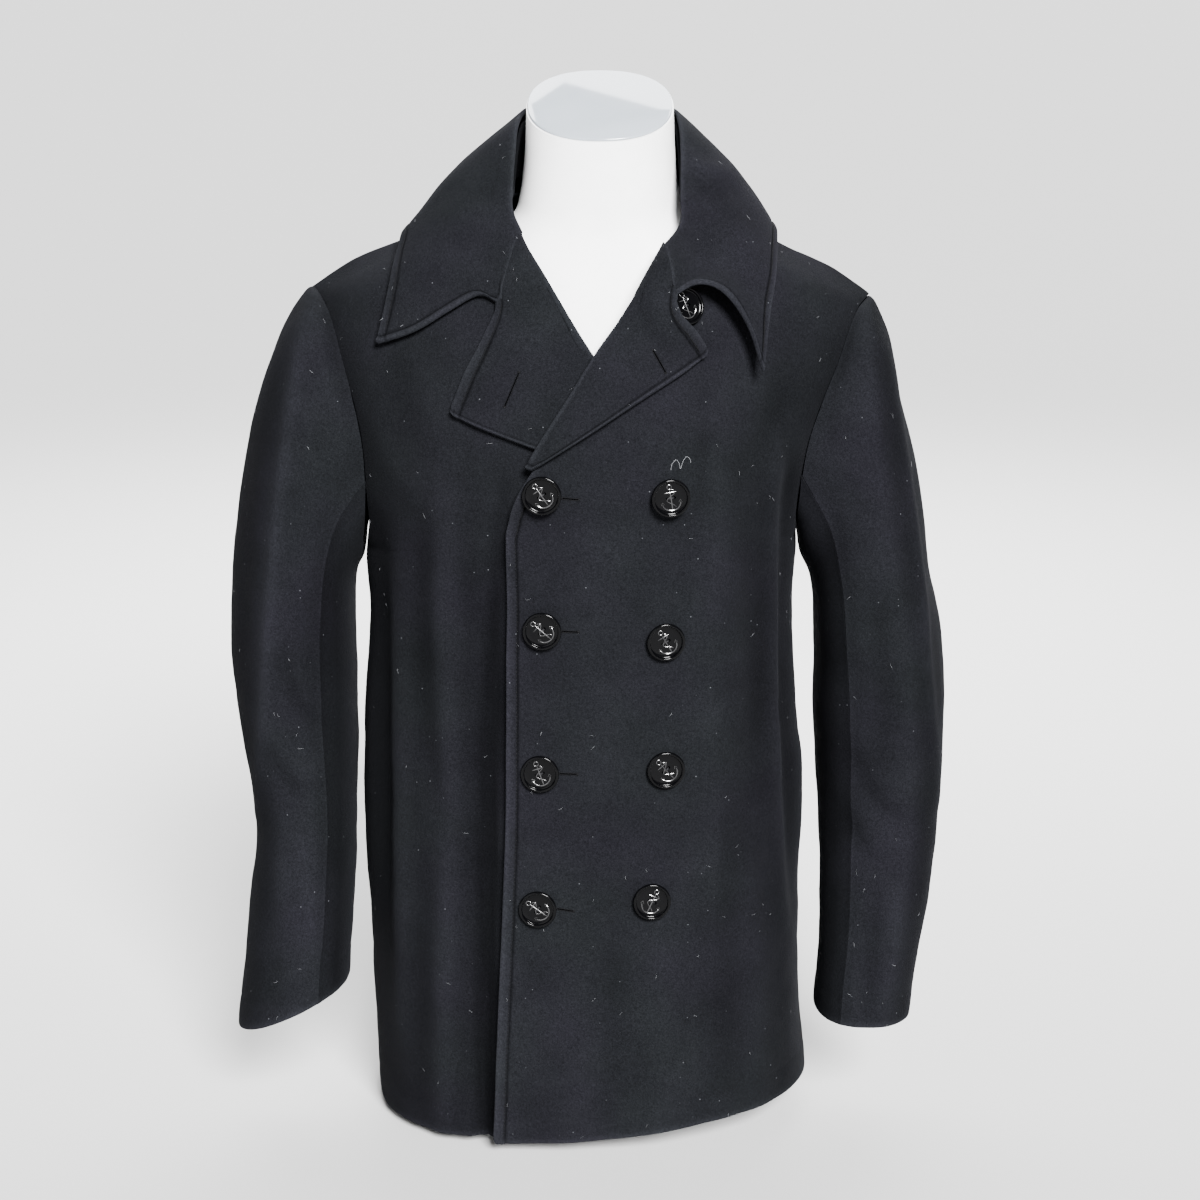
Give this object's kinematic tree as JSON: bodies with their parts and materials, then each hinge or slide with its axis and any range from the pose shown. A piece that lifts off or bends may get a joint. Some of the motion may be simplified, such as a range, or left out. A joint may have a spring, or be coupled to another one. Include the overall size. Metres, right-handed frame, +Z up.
{
  "type": "double-breasted wool pea coat on a limbless dress form",
  "caption": "Hip-length double-breasted coat with notched lapels, wide collar and long set-in sleeves, buttoned on a smooth limbless dress form.",
  "frame": {"origin": "centre of the dress form's flat base, on the surface it stands on", "axes": "+Z up along the body; -Y out of the coat's front; +X towards the wearer's left, the viewer's right"},
  "size_m": [0.641, 0.3034, 0.9334],
  "materials": {
    "wool": "thick brushed melton wool, near black with a faint blue cast, dull nap",
    "button": "glossy black",
    "form": "smooth plain white",
    "neck_cap": "smooth pale grey-blue, glossy"
  },
  "bodies": {
    "root": {"form_torso": "form", "form_neck_cap": "neck_cap", "front_right": "wool", "front_left": "wool", "back": "wool", "lapel_right": "wool", "lapel_left": "wool", "collar_leaf": "wool", "collar_stand": "wool", "sleeve_right_top": "wool", "sleeve_right_under": "wool", "sleeve_left_top": "wool", "sleeve_left_under": "wool", "button_edge_1": "button", "button_edge_2": "button", "button_edge_3": "button", "button_edge_4": "button", "button_inner_1": "button", "button_inner_2": "button", "button_inner_3": "button", "button_inner_4": "button", "button_collar": "button"}
  },
  "joints": []
}
